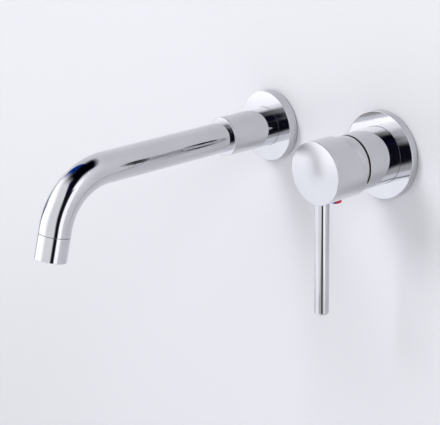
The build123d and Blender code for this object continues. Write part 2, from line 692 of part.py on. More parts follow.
# Cartridge base: the foot of the cartridge, with a seal round each port above and below
with BuildPart() as cartridge_base:
    with BuildSketch(facing_room(CHAMBER_FLOOR_OUT)):
        Circle(CARTRIDGE_R)
    extrude(amount=BASE_FOOT)
    with BuildSketch(facing_room(housing_out)):
        Circle(cartridge_bore_r - PART_GAP)
    extrude(amount=BASE_THICK - BASE_FOOT)
    for port_x, port_z, port_r in ports:
        with BuildSketch(facing_room(CHAMBER_FLOOR_OUT, port_x, port_z)):
            Circle(port_r)
        extrude(amount=BASE_THICK, mode=Mode.SUBTRACT)
        with BuildSketch(facing_room(CHAMBER_FLOOR_OUT, port_x, port_z)):
            Circle(port_r + SEAL_SECTION)
        extrude(amount=SEAL_SECTION, mode=Mode.SUBTRACT)
        with BuildSketch(facing_room(fixed_disc_out - SEAL_SECTION, port_x, port_z)):
            Circle(port_r + SEAL_SECTION)
        extrude(amount=SEAL_SECTION, mode=Mode.SUBTRACT)
save(cartridge_base, "cartridge_base")


def port_rings(out):
    """Three rubber rings, one for each port, that fill the counterbores on one side of the base."""
    with BuildPart() as rings:
        for port_x, port_z, port_r in ports:
            with BuildSketch(facing_room(out, port_x, port_z)):
                Circle(port_r + SEAL_SECTION - SLIDE_GAP)
                Circle(port_r, mode=Mode.SUBTRACT)
            extrude(amount=SEAL_SECTION)
    return rings


# Port seals: one set against the body, the other against the fixed disc
port_seals = port_rings(CHAMBER_FLOOR_OUT)
save(port_seals, "port_seals")
disc_seals = port_rings(fixed_disc_out - SEAL_SECTION)
save(disc_seals, "disc_seals")

# Cartridge housing: closed by the base behind, with a hole for the spindle holder in front
housing_length = cartridge_front_out - housing_out
with BuildPart() as cartridge_housing:
    with BuildSketch(facing_room(housing_out)):
        Circle(CARTRIDGE_R)
    extrude(amount=housing_length)
    with BuildSketch(facing_room(housing_out)):
        Circle(cartridge_bore_r)
    extrude(amount=housing_length - CARTRIDGE_LID, mode=Mode.SUBTRACT)
    with BuildSketch(facing_room(housing_out)):
        Circle(HOLDER_NECK_R + SLIDE_GAP)
    extrude(amount=housing_length, mode=Mode.SUBTRACT)
save(cartridge_housing, "cartridge_housing")

# Retaining nut: holds the cartridge down in its chamber
with BuildPart() as retaining_nut:
    with BuildSketch(facing_room(cartridge_front_out)):
        Circle(nut_r)
    extrude(amount=NUT_THREAD)
    with BuildSketch(facing_room(cartridge_front_out + NUT_THREAD)):
        RegularPolygon(NUT_HEX_R, 6)
    extrude(amount=NUT_HEX)
    with BuildSketch(facing_room(cartridge_front_out)):
        Circle(HOLDER_NECK_R + NUT_GAP)
    extrude(amount=NUT_THREAD + NUT_HEX, mode=Mode.SUBTRACT)
save(retaining_nut, "retaining_nut")

# Body: one casting in the wall, with the cartridge chamber, two inlets below and an arm to the spout
with BuildPart() as valve_body:
    with BuildSketch(facing_room(BODY_BACK_OUT)):
        Circle(DRUM_R)
    extrude(amount=DRUM_FRONT_OUT - BODY_BACK_OUT)
    with BuildSketch(facing_room(DRUM_FRONT_OUT)):
        Circle(neck_r)
    extrude(amount=neck_front_out - DRUM_FRONT_OUT)
    with BuildSketch(facing_room(BODY_BACK_OUT, -SPOUT_OFFSET)):
        Circle(ELBOW_R)
    extrude(amount=ELBOW_FRONT_OUT - BODY_BACK_OUT)
    with BuildSketch(looking_across(-SPOUT_OFFSET, ARM_OUT, ARM_RISE)):
        Circle(ARM_R)
    extrude(amount=SPOUT_OFFSET)
    with BuildSketch(looking_across(-INLET_OFFSET, INLET_OUT, -inlet_port_drop)):
        Circle(BAR_R)
    extrude(amount=2 * INLET_OFFSET)
    for side in (-1, 1):
        with BuildSketch(looking_up(INLET_END_DROP - INLET_HEX, side * INLET_OFFSET, INLET_OUT)):
            Circle(INLET_R)
        extrude(amount=INLET_END_DROP - INLET_HEX + INLET_TOP)
        with BuildSketch(looking_up(INLET_END_DROP, side * INLET_OFFSET, INLET_OUT)):
            RegularPolygon(INLET_HEX_R, 6)
        extrude(amount=INLET_HEX)
    for side in (-1, 1):
        with BuildSketch(looking_up(INLET_END_DROP, side * INLET_OFFSET, INLET_OUT)):
            Circle(THREAD_BORE_R)
        extrude(amount=INLET_THREAD, mode=Mode.SUBTRACT)
        with BuildSketch(looking_up(INLET_END_DROP, side * INLET_OFFSET, INLET_OUT)):
            Circle(INLET_WATERWAY_R)
        extrude(amount=INLET_END_DROP - inlet_port_drop, mode=Mode.SUBTRACT)
        with BuildSketch(looking_across(side * BAR_WEB / 2, INLET_OUT, -inlet_port_drop, side)):
            Circle(BAR_BORE_R)
        extrude(amount=INLET_OFFSET - BAR_WEB / 2, mode=Mode.SUBTRACT)
    with BuildSketch(looking_across(-SPOUT_OFFSET, ARM_OUT, ARM_RISE)):
        Circle(ARM_BORE_R)
    extrude(amount=SPOUT_OFFSET, mode=Mode.SUBTRACT)
    for port_x, port_z, port_r in ports:
        gallery_out = ARM_OUT if port_x == 0 else INLET_OUT
        with BuildSketch(facing_room(gallery_out, port_x, port_z)):
            Circle(port_r)
        extrude(amount=CHAMBER_FLOOR_OUT - gallery_out, mode=Mode.SUBTRACT)
    with BuildSketch(facing_room(CHAMBER_FLOOR_OUT)):
        Circle(chamber_r)
    extrude(amount=neck_front_out - CHAMBER_FLOOR_OUT, mode=Mode.SUBTRACT)
    with BuildSketch(facing_room(cartridge_front_out)):
        Circle(nut_r + SLIDE_GAP)
    extrude(amount=neck_front_out - cartridge_front_out, mode=Mode.SUBTRACT)
    with BuildSketch(facing_room(sleeve_ring_out - sleeve_ring_section)):
        Circle(sleeve_bore_r)
        Circle(sleeve_bore_r - 2 * sleeve_ring_section, mode=Mode.SUBTRACT)
    extrude(amount=2 * sleeve_ring_section, mode=Mode.SUBTRACT)
    with BuildSketch(facing_room(ELBOW_FRONT_OUT - ELBOW_THREAD, -SPOUT_OFFSET)):
        Circle(THREAD_BORE_R)
    extrude(amount=ELBOW_THREAD, mode=Mode.SUBTRACT)
    with BuildSketch(facing_room(BODY_BACK_OUT + ELBOW_FLOOR, -SPOUT_OFFSET)):
        Circle(ELBOW_BORE_R)
    extrude(amount=ELBOW_FRONT_OUT - BODY_BACK_OUT - ELBOW_FLOOR, mode=Mode.SUBTRACT)
    for axis_x in (-SPOUT_OFFSET, 0):
        for side in (-1, 1):
            with BuildSketch(facing_room(BODY_BACK_OUT, axis_x, side * BODY_SCREW_PITCH / 2)):
                Circle(BODY_SCREW_R + SLIDE_GAP)
            extrude(amount=BODY_SCREW_LENGTH - BRACKET_THICK, mode=Mode.SUBTRACT)
save(valve_body, "valve_body")

# Wall bracket: a steel plate behind the body, with a hole above and below each axis
bracket_centre = -SPOUT_OFFSET / 2
bracket_back_out = BODY_BACK_OUT - BRACKET_THICK
bracket_hole_rise = DRUM_R + BRACKET_HOLE_GAP
with BuildPart() as wall_bracket:
    with BuildSketch(facing_room(bracket_back_out, bracket_centre)):
        Rectangle(SPOUT_OFFSET + 2 * BRACKET_MARGIN, BRACKET_WAIST)
        with GridLocations(SPOUT_OFFSET, 0, 2, 1):
            RectangleRounded(2 * BRACKET_MARGIN, 2 * (bracket_hole_rise + BRACKET_MARGIN), BRACKET_CORNER)
        with GridLocations(SPOUT_OFFSET, 2 * bracket_hole_rise, 2, 2):
            Circle(BRACKET_HOLE_R, mode=Mode.SUBTRACT)
        with GridLocations(SPOUT_OFFSET, BODY_SCREW_PITCH, 2, 2):
            Circle(BODY_SCREW_R + SLIDE_GAP, mode=Mode.SUBTRACT)
    extrude(amount=BRACKET_THICK)
    with BuildSketch(facing_room(bracket_back_out, bracket_centre)):
        with GridLocations(SPOUT_OFFSET, BODY_SCREW_PITCH, 2, 2):
            Circle(BODY_SCREW_HEAD_R + PART_GAP)
    extrude(amount=BODY_SCREW_HEAD_R - BODY_SCREW_R, taper=COUNTERSINK, mode=Mode.SUBTRACT)
save(wall_bracket, "wall_bracket")

# Body screws: four countersunk screws that hold the body on the bracket, flush with its back
screw_back_out = bracket_back_out + PART_GAP
with BuildPart() as body_screws:
    with BuildSketch(facing_room(screw_back_out, bracket_centre)):
        with GridLocations(SPOUT_OFFSET, BODY_SCREW_PITCH, 2, 2):
            Circle(BODY_SCREW_HEAD_R - PART_GAP)
    extrude(amount=BODY_SCREW_HEAD_R - BODY_SCREW_R - PART_GAP, taper=COUNTERSINK)
    with BuildSketch(facing_room(screw_back_out, bracket_centre)):
        with GridLocations(SPOUT_OFFSET, BODY_SCREW_PITCH, 2, 2):
            Circle(BODY_SCREW_R)
    extrude(amount=BODY_SCREW_LENGTH - 2 * PART_GAP)
    with BuildSketch(facing_room(screw_back_out, bracket_centre)):
        with GridLocations(SPOUT_OFFSET, BODY_SCREW_PITCH, 2, 2):
            RegularPolygon(BODY_SCREW_SOCKET_R, 6)
    extrude(amount=BODY_SCREW_SOCKET, mode=Mode.SUBTRACT)
save(body_screws, "body_screws")
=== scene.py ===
import bmesh
import bpy
import json
import math
from mathutils import Matrix, Vector

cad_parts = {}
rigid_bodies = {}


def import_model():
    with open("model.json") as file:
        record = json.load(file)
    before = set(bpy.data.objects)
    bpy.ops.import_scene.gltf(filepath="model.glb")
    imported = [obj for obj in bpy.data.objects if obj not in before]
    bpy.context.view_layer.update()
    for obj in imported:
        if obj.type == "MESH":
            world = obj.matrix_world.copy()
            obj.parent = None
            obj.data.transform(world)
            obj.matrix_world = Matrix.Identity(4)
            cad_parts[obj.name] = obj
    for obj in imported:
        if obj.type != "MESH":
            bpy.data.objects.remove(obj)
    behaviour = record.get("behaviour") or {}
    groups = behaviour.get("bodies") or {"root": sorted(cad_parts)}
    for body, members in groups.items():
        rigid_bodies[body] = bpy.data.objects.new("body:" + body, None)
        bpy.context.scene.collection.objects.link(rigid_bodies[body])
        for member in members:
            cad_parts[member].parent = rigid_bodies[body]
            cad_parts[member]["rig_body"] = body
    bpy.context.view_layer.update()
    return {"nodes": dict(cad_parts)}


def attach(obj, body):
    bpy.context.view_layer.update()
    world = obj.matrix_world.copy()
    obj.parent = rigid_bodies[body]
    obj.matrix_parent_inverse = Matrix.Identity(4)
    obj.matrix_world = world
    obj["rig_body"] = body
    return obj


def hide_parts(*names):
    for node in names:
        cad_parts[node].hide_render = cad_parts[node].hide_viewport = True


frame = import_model()


# Body in the wall: one brass casting with the cartridge's drum, the two inlets and the arm to the spout.
# The sand mould leaves a rough, dull skin, and its edges are broken with a file.
SKIN_ANGLE = math.radians(30)
FLAT_ANGLE = math.radians(0.4)
SAME_CORNER = 1e-6
CLOUDS_FROM, CLOUDS_TO = 0.35, 0.65
WIPES_FROM, WIPES_TO = 0.35, 0.7


def surface(name, colour, shade, gloss, dull, metallic, clouds, wipes, grain, relief):
    """A finish with clouds of two colours, wipes from glossy to dull, and a grain with a relief in mm."""
    material = bpy.data.materials.new(name)
    material.use_nodes = True
    nodes, links = material.node_tree.nodes, material.node_tree.links
    shader = nodes["Principled BSDF"]
    shader.inputs["Metallic"].default_value = metallic
    place = nodes.new("ShaderNodeTexCoord")
    noise = {}
    for part, scale, detail in (("clouds", clouds, 4.0), ("wipes", wipes, 6.0), ("grain", grain, 3.0)):
        noise[part] = nodes.new("ShaderNodeTexNoise")
        noise[part].inputs["Scale"].default_value = scale
        noise[part].inputs["Detail"].default_value = detail
        links.new(place.outputs["Object"], noise[part].inputs["Vector"])
    tint = nodes.new("ShaderNodeValToRGB")
    tint.name = "tint"
    for stop, position, tone in zip(tint.color_ramp.elements, (CLOUDS_FROM, CLOUDS_TO), (colour, shade)):
        stop.position = position
        stop.color = (*tone, 1)
    links.new(noise["clouds"].outputs["Fac"], tint.inputs["Fac"])
    links.new(tint.outputs["Color"], shader.inputs["Base Color"])
    streaks = nodes.new("ShaderNodeMapRange")
    streaks.name = "streaks"
    streaks.inputs["From Min"].default_value = WIPES_FROM
    streaks.inputs["From Max"].default_value = WIPES_TO
    streaks.inputs["To Min"].default_value = gloss
    streaks.inputs["To Max"].default_value = dull
    links.new(noise["wipes"].outputs["Fac"], streaks.inputs["Value"])
    links.new(streaks.outputs["Result"], shader.inputs["Roughness"])
    skin = nodes.new("ShaderNodeBump")
    skin.name = "skin"
    skin.inputs["Distance"].default_value = relief / 1000
    links.new(noise["grain"].outputs["Fac"], skin.inputs["Height"])
    links.new(skin.outputs["Normal"], shader.inputs["Normal"])
    return material


def as_object(name, mesh, material=None):
    """An object in the scene from a bmesh, which is used up."""
    data = bpy.data.meshes.new(name)
    mesh.to_mesh(data)
    mesh.free()
    if material:
        data.materials.append(material)
    piece = bpy.data.objects.new(name, data)
    bpy.context.scene.collection.objects.link(piece)
    return piece


def finish_piece(name, mesh, material, slot, *nodes, broken=0.0):
    """Makes a bmesh an object that stands for its CAD nodes and rides on their body, its edges broken."""
    piece = as_object(name, mesh, material)
    piece.data.shade_smooth()
    piece.data.set_sharp_from_angle(angle=SKIN_ANGLE)
    if broken:
        edges = piece.modifiers.new("broken_edges", "BEVEL")
        edges.width = broken
        edges.segments = 2
        edges.limit_method = "ANGLE"
        edges.angle_limit = SKIN_ANGLE
    even = piece.modifiers.new("even_shading", "WEIGHTED_NORMAL")
    even.keep_sharp = True
    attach(piece, frame["nodes"][nodes[0]]["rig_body"])
    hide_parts(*nodes)
    return piece


def cad_copy(node):
    """A merged copy of a CAD node's mesh, with the triangles of each flat face joined."""
    mesh = bmesh.new()
    mesh.from_mesh(frame["nodes"][node].data)
    bmesh.ops.remove_doubles(mesh, verts=mesh.verts, dist=SAME_CORNER)
    bmesh.ops.dissolve_limit(mesh, angle_limit=FLAT_ANGLE, verts=mesh.verts, edges=mesh.edges)
    return mesh


cast = surface("cast_brass", (0.42, 0.29, 0.12), (0.30, 0.20, 0.08), gloss=0.45, dull=0.75, metallic=1.0,
               clouds=55, wipes=260, grain=1400, relief=0.25)
finish_piece("cast_body", cad_copy("valve_body"), cast, "rough_brass", "valve_body", broken=0.0003)


# Wall bracket and its screws: a plate punched from 2.5 mm steel and zinc plated, which holds the body
# at its depth in the wall. Four countersunk socket screws clamp it to the back of the casting.
zinc = surface("zinc_plate", (0.55, 0.57, 0.60), (0.47, 0.50, 0.52), gloss=0.22, dull=0.42, metallic=1.0,
               clouds=90, wipes=200, grain=1500, relief=0.04)
for name, node in (("punched_bracket", "wall_bracket"), ("countersunk_screws", "body_screws")):
    finish_piece(name, cad_copy(node), zinc, "zinc_plate", node, broken=0.00015)


# Turned brass pieces: the nipple that carries the spout, the nut that holds the cartridge and the
# spindle are machined from bar, so they are bright, with fine marks from the tool.
bar_brass = surface("turned_brass", (0.62, 0.45, 0.20), (0.54, 0.38, 0.16), gloss=0.16, dull=0.34,
                    metallic=1.0, clouds=120, wipes=500, grain=2600, relief=0.03)
for node in ("spout_nipple", "retaining_nut", "spindle"):
    finish_piece(node + "_turned", cad_copy(node), bar_brass, "turned_brass", node, broken=0.00012)


# Cartridge: a base, a housing, a holder and a carrier moulded in stiff plastic, and between them two
# ceramic discs, lapped flat, that slide on each other to open and mix the water.
moulding = surface("cartridge_plastic", (0.62, 0.61, 0.57), (0.54, 0.53, 0.50), gloss=0.35, dull=0.5,
                   metallic=0.0, clouds=80, wipes=220, grain=1100, relief=0.03)
for node in ("cartridge_base", "cartridge_housing", "disc_carrier", "spindle_holder"):
    finish_piece(node + "_moulded", cad_copy(node), moulding, "cartridge_plastic", node, broken=0.0001)
ceramic = surface("disc_ceramic", (0.80, 0.78, 0.74), (0.73, 0.71, 0.67), gloss=0.06, dull=0.16, metallic=0.0,
                  clouds=70, wipes=180, grain=3000, relief=0.004)
for node in ("moving_disc", "fixed_disc"):
    finish_piece(node + "_lapped", cad_copy(node), ceramic, "disc_ceramic", node, broken=0.00008)


# Seals: black rubber rings in their grooves, and a foam ring behind each flange that keeps splashes
# out of the wall. All are moulded or punched, with a dull skin.
rubber = surface("black_rubber", (0.018, 0.018, 0.019), (0.028, 0.028, 0.028), gloss=0.5, dull=0.68,
                 metallic=0.0, clouds=90, wipes=300, grain=2200, relief=0.05)
for node in ("sleeve_o_ring", "nipple_o_rings", "outlet_o_ring", "aerator_washer", "port_seals",
             "disc_seals"):
    finish_piece(node + "_rubber", cad_copy(node), rubber, "black_rubber", node)
foam = surface("flange_foam", (0.16, 0.16, 0.17), (0.11, 0.11, 0.12), gloss=0.8, dull=0.95, metallic=0.0,
               clouds=200, wipes=400, grain=1800, relief=0.3)
for node in ("spout_flange_seal", "valve_flange_seal"):
    finish_piece(node + "_foam", cad_copy(node), foam, "flange_foam", node)


# Steel pieces: the set screws of the spout and the knob, the pin that the spindle rocks on, and the
# aerator's woven screen. All are of bright stainless steel.
steel = surface("stainless_steel", (0.56, 0.55, 0.53), (0.48, 0.47, 0.46), gloss=0.18, dull=0.34,
                metallic=1.0, clouds=150, wipes=420, grain=2400, relief=0.02)
for node in ("spout_grub_screw", "handle_grub_screw", "pivot_pin", "aerator_screen"):
    finish_piece(node + "_steel", cad_copy(node), steel, "stainless_steel", node, broken=0.00006)


# Spout tube: one length of 22 mm brass tube, drawn, bent once round a former and polished before it is
# chrome plated. It slips over the nipple behind the collar and is open at both ends.
SPOUT_X = -0.110
TUBE_R = 0.011
TUBE_BORE_R = 0.0095
TUBE_BACK = 0.002
TUBE_ROUNDS = 144
BEND_R = 0.044
BEND = math.radians(75)
BEND_STEPS = 72
TUBE_TAIL = 0.005
SEAM_GAP = 0.00025
OUTLET_LENGTH = 0.017
REACH = 0.203999
QUARTER_TURN = math.radians(90)
tail = TUBE_TAIL + OUTLET_LENGTH
bend_start = REACH - BEND_R * math.sin(BEND) - tail * math.cos(BEND)
up_the_spout = Vector((0, math.cos(BEND), math.sin(BEND)))
chrome = surface("chrome_plate", (0.63, 0.635, 0.65), (0.60, 0.605, 0.62), gloss=0.025, dull=0.05,
                 metallic=1.0, clouds=38, wipes=140, grain=900, relief=0.0015)


def loose_end(extruded):
    """The verts and edges at the free end of what was just extruded."""
    verts = [part for part in extruded if isinstance(part, bmesh.types.BMVert)]
    edges = [part for part in extruded if isinstance(part, bmesh.types.BMEdge) and part.is_boundary]
    return verts, [edge for edge in edges if edge.verts[0] in verts and edge.verts[1] in verts]


tube = bmesh.new()
start = Matrix.Translation((SPOUT_X, -TUBE_BACK, 0)) @ Matrix.Rotation(QUARTER_TURN, 4, "X")
bmesh.ops.create_circle(tube, segments=TUBE_ROUNDS, radius=TUBE_R, matrix=start)
verts, edges = loose_end(bmesh.ops.extrude_edge_only(tube, edges=tube.edges[:])["geom"])
bmesh.ops.translate(tube, verts=verts, vec=(0, TUBE_BACK - bend_start, 0))
spun = bmesh.ops.spin(tube, geom=verts + edges, cent=(SPOUT_X, -bend_start, -BEND_R), axis=(1, 0, 0),
                      dvec=(0, 0, 0), angle=BEND, steps=BEND_STEPS, use_merge=False, use_duplicate=False)
verts, edges = loose_end(spun["geom_last"])
verts, edges = loose_end(bmesh.ops.extrude_edge_only(tube, edges=edges)["geom"])
bmesh.ops.translate(tube, verts=verts, vec=-up_the_spout * (TUBE_TAIL - SEAM_GAP))
bmesh.ops.recalc_face_normals(tube, faces=tube.faces)
bmesh.ops.solidify(tube, geom=tube.faces[:], thickness=TUBE_R - TUBE_BORE_R)
bmesh.ops.recalc_face_normals(tube, faces=tube.faces)
finish_piece("spout_tube_drawn", tube, chrome, "polished_chrome", "spout_tube", broken=0.0001)


# Spout collar: a turned brass sleeve over the back of the tube, with a flat front and a small round at
# its edge. A set screw in its underside holds the spout on the nipple.
OUT = Vector((0, -1, 0))
DOWN = Vector((0, 0, -1))
COLLAR_R = 0.01425
COLLAR_BORE_R = 0.01105
COLLAR_BACK = 0.001
COLLAR_FRONT = 0.0506
COLLAR_ROUND = 0.0007
SET_SCREW_OUT = 0.015
SET_SCREW_R = 0.00255
DRILL_START = 0.008
DRILL_LENGTH = 0.01
DRILL_SIDES = 96
ROUND_STEPS = 10
TOUCHING = 1e-7
MERGE = 2e-6


def turn_to(way):
    """The turn that takes the Z axis to a way."""
    return Vector((0, 0, 1)).rotation_difference(Vector(way)).to_matrix()


def turned(corners, place=(0, 0, 0), way=OUT, rounds=192):
    """A piece turned about an axis, from corners of radius, distance along the axis and size of round."""
    mesh = bmesh.new()
    verts = [mesh.verts.new((radius, 0, along)) for radius, along, _ in corners]
    ends = list(zip(verts, verts[1:]))
    if corners[0][0] > 0:
        ends.append((verts[-1], verts[0]))
    for end in ends:
        mesh.edges.new(end)
    for vert, (_, _, size) in zip(verts, corners):
        if size:
            bmesh.ops.bevel(mesh, geom=[vert], offset=size, offset_type="OFFSET", segments=ROUND_STEPS,
                            profile=0.5, affect="VERTICES", material=-1)
    bmesh.ops.spin(mesh, geom=mesh.verts[:] + mesh.edges[:], cent=(0, 0, 0), axis=(0, 0, 1), dvec=(0, 0, 0),
                   angle=math.tau, steps=rounds, use_merge=True, use_duplicate=False)
    bmesh.ops.remove_doubles(mesh, verts=mesh.verts, dist=TOUCHING)
    bmesh.ops.recalc_face_normals(mesh, faces=mesh.faces)
    bmesh.ops.rotate(mesh, verts=mesh.verts, cent=(0, 0, 0), matrix=turn_to(way))
    bmesh.ops.translate(mesh, verts=mesh.verts, vec=place)
    return mesh


def bar(radius, start, way, length, sides=DRILL_SIDES):
    """A plain round or square bar, used to drill and mill the other pieces."""
    place = Matrix.Translation(Vector(start) + Vector(way) * length / 2)
    mesh = bmesh.new()
    bmesh.ops.create_cone(mesh, cap_ends=True, segments=sides, radius1=radius, radius2=radius, depth=length,
                          matrix=place @ turn_to(way).to_4x4())
    return mesh


def cut(mesh, tool):
    """Takes the tool's shape out of a piece, as a drill or a mill does, and merges its corners again."""
    piece, cutter = as_object("shape", mesh), as_object("shape", tool)
    milling = piece.modifiers.new("milling", "BOOLEAN")
    milling.operation = "DIFFERENCE"
    milling.solver = "EXACT"
    milling.object = cutter
    done = piece.evaluated_get(bpy.context.evaluated_depsgraph_get())
    result = bmesh.new()
    result.from_mesh(done.to_mesh())
    bmesh.ops.remove_doubles(result, verts=result.verts, dist=MERGE)
    bmesh.ops.dissolve_degenerate(result, edges=result.edges, dist=MERGE)
    for shape in (piece, cutter):
        bpy.data.meshes.remove(shape.data)
    return result


collar = turned([(COLLAR_BORE_R, COLLAR_BACK, 0), (COLLAR_R, COLLAR_BACK, 0),
                 (COLLAR_R, COLLAR_FRONT, COLLAR_ROUND), (COLLAR_BORE_R, COLLAR_FRONT, 0)], (SPOUT_X, 0, 0))
collar = cut(collar, bar(SET_SCREW_R, (SPOUT_X, -SET_SCREW_OUT, -DRILL_START), DOWN, DRILL_LENGTH))
finish_piece("spout_collar_turned", collar, chrome, "polished_chrome", "spout_collar", broken=0.0001)


# Wall flanges: two turned and polished cover plates, hollow behind, pressed on the wall over foam rings.
# They hide the openings in the wall. The front of the valve's plate is faced with a lean of 1.5 degrees,
# so that it looks up a little.
FLANGE_BACK = 0.0006
FLANGE_WALL = 0.0016
FLANGE_RIM = 0.0036
FLANGE_EDGE = 0.0005
FRONT_SKIN = 0.001
for name, x, radius, thick, hole, slope in (
    ("spout_flange", SPOUT_X, 0.026, 0.0074, 0.01435, 0.0),
    ("valve_flange", 0.0, 0.0305, 0.0056, 0.0201, 0.026),
):
    front = FLANGE_BACK + thick
    inner = radius - FLANGE_RIM
    plate = turned([(hole, front, 0), (hole, front - FLANGE_WALL, 0), (inner, front - FLANGE_WALL, 0),
                    (inner, FLANGE_BACK, 0), (radius, FLANGE_BACK, 0), (radius, front, FLANGE_EDGE)],
                   (x, 0, 0))
    for vert in plate.verts:
        if vert.co.y < FRONT_SKIN - front:
            vert.co.y += slope * vert.co.z
    finish_piece(name + "_turned", plate, chrome, "polished_chrome", name, broken=0.0001)


# Outlet ring: the turned ring screwed into the end of the tube. Its joint shows as a fine line round the
# spout, and its small edge frames the aerator.
OUTLET_BORE_R = 0.0092
OUTLET_BORE_DEPTH = 0.014
WATERWAY_R = 0.007
SPIGOT_R = 0.00945
SPIGOT = 0.0045
SEAM_EDGE = 0.0003
MOUTH_EDGE = 0.0004
MOUTH_BORE_EDGE = 0.0002
mouth_drop = BEND_R * (1 - math.cos(BEND)) + tail * math.sin(BEND)
mouth = Vector((SPOUT_X, -REACH, -mouth_drop))
outlet = turned([(WATERWAY_R, OUTLET_LENGTH + SPIGOT, 0), (WATERWAY_R, OUTLET_BORE_DEPTH, 0),
                 (OUTLET_BORE_R, OUTLET_BORE_DEPTH, 0), (OUTLET_BORE_R, 0, MOUTH_BORE_EDGE),
                 (TUBE_R, 0, MOUTH_EDGE), (TUBE_R, OUTLET_LENGTH, SEAM_EDGE), (SPIGOT_R, OUTLET_LENGTH, 0),
                 (SPIGOT_R, OUTLET_LENGTH + SPIGOT, 0)], mouth, up_the_spout)
finish_piece("outlet_ring_turned", outlet, chrome, "polished_chrome", "outlet_ring")


# Aerator: a moulded cup in the outlet ring with a honeycomb at the mouth, which mixes air into the water.
# Both are of pale grey acetal.
acetal = surface("aerator_plastic", (0.50, 0.52, 0.54), (0.43, 0.45, 0.47), gloss=0.3, dull=0.45,
                 metallic=0.0, clouds=150, wipes=400, grain=1800, relief=0.02)
for node in ("aerator_body", "flow_grid"):
    finish_piece(node + "_moulded", cad_copy(node), acetal, "aerator_plastic", node, broken=0.00006)


# Valve sleeve: a plain length of polished tube between the flange and the knob. A rubber ring holds it
# centred on the neck of the body.
SLEEVE_R = 0.020
SLEEVE_BORE_R = 0.0185
SLEEVE_BACK = 0.001
SLEEVE_EDGE = 0.00025
SLEEVE_SETBACK = 0.0026
PIVOT = 0.0375274
SLEEVE_FRONT = PIVOT - SLEEVE_SETBACK
sleeve = turned([(SLEEVE_BORE_R, SLEEVE_BACK, 0), (SLEEVE_R, SLEEVE_BACK, 0),
                 (SLEEVE_R, SLEEVE_FRONT, SLEEVE_EDGE), (SLEEVE_BORE_R, SLEEVE_FRONT, 0)])
finish_piece("valve_sleeve_turned", sleeve, chrome, "polished_chrome", "valve_sleeve", broken=0.0001)


# Cover ring: a polished ring shaped as part of a ball about the handle's pivot, bored from behind. The
# knob swings over it, and it shows in the relief behind the knob's top.
COVER_R = 0.0195
COVER_WALL = 0.0016
COVER_BORE_R = 0.01705
COVER_GAP = 0.0012
COVER_REACH = 0.0115
COVER_BACK = SLEEVE_FRONT + COVER_GAP
COVER_FRONT = PIVOT + COVER_REACH
BALL_ROUNDS = 192
pivot = Vector((0, -PIVOT, 0))


def ball(radius):
    """A ball about the handle's pivot, with its poles on the valve's axis."""
    place = Matrix.Translation(pivot) @ Matrix.Rotation(QUARTER_TURN, 4, "X")
    mesh = bmesh.new()
    bmesh.ops.create_uvsphere(mesh, u_segments=BALL_ROUNDS, v_segments=BALL_ROUNDS // 2, radius=radius,
                              matrix=place)
    return mesh


def saw_off(mesh, out, down, way):
    """Saws off what lies beyond a plane, closes the cut with a flat face and returns that face."""
    sawn = bmesh.ops.bisect_plane(mesh, geom=mesh.verts[:] + mesh.edges[:] + mesh.faces[:], dist=TOUCHING,
                                  plane_co=(0, -out, -down), plane_no=way, clear_outer=True)["geom_cut"]
    edges = [part for part in sawn if isinstance(part, bmesh.types.BMEdge)]
    return bmesh.ops.edgeloop_fill(mesh, edges=edges)["faces"][0]


cover = ball(COVER_R)
saw_off(cover, COVER_BACK, 0, (0, 1, 0))
saw_off(cover, COVER_FRONT, 0, (0, -1, 0))
bmesh.ops.recalc_face_normals(cover, faces=cover.faces)
cover = cut(cover, ball(COVER_R - COVER_WALL))
cover = cut(cover, bar(COVER_BORE_R, (0, 0, 0), OUT, PIVOT, BALL_ROUNDS))
finish_piece("cover_ring_turned", cover, chrome, "polished_chrome", "cover_ring", broken=0.0001)


# Handle knob: turned from bar, bored to a ball inside and milled off at a slant behind its top, so that
# it clears the sleeve when it tips back. Its front is slightly crowned, with a satin face and a small
# edge. A boss in the hollow has the square socket for the spindle.
KNOB_R = 0.0215
KNOB_SETOUT = 0.0003
KNOB_LENGTH = 0.0297
KNOB_BACK = PIVOT + KNOB_SETOUT
KNOB_FRONT = KNOB_BACK + KNOB_LENGTH
KNOB_EDGE = 0.0004
KNOB_ROUNDS = 256
CROWN_R = 0.150
CROWN_STEPS = 16
CAVITY_R = 0.020
RELIEF_START = 0.009
RELIEF_ANGLE = math.radians(26.2)
RELIEF_SLOPE = KNOB_R * math.tan(RELIEF_ANGLE) / (KNOB_R + RELIEF_START)
RELIEF_ROUND = 0.0008
RELIEF_STEPS = 6
RIM_SKIN = 0.0001
LEAN = math.radians(12.5)
SPINDLE_WAY = Vector((0, -math.cos(LEAN), -math.sin(LEAN)))
SPINDLE_FRONT = 0.0241
BOSS_R = 0.0095
BOSS_BACK = 0.0085
BOSS_LENGTH = 0.02
SOCKET = 0.00355
SOCKET_BACK = 0.002
SOCKET_SIDES = 4
PLAY = 0.00005
LEVER_R = 0.005
LEVER_SEAT = 0.0012
LEVER_INSET = 0.007
LEVER_OUT = KNOB_FRONT - LEVER_INSET
STUB_R = 0.004
STUB_HOLE = 0.00905
STUB_OVERLAP = 0.0005
PLUG_R = 0.004
PLUG_SEAT = 0.005
PLUG_INSET = 0.020
PLUG_OUT = KNOB_FRONT - PLUG_INSET
SCREW_R = 0.003
SCREW_HOLE_END = 0.0045
FACES_OUT = -0.97
crown_edge = math.asin(KNOB_R / CROWN_R)
crown = [(CROWN_R * math.sin(crown_edge * step / CROWN_STEPS),
          KNOB_FRONT + CROWN_R * (math.cos(crown_edge * step / CROWN_STEPS) - math.cos(crown_edge)), 0)
         for step in range(CROWN_STEPS - 2, -1, -1)]
knob = turned([(0, KNOB_BACK, 0), (KNOB_R, KNOB_BACK, 0), (KNOB_R, KNOB_FRONT, KNOB_EDGE)] + crown,
              rounds=KNOB_ROUNDS)
slant = saw_off(knob, KNOB_BACK, RELIEF_START, (0, 1, RELIEF_SLOPE))
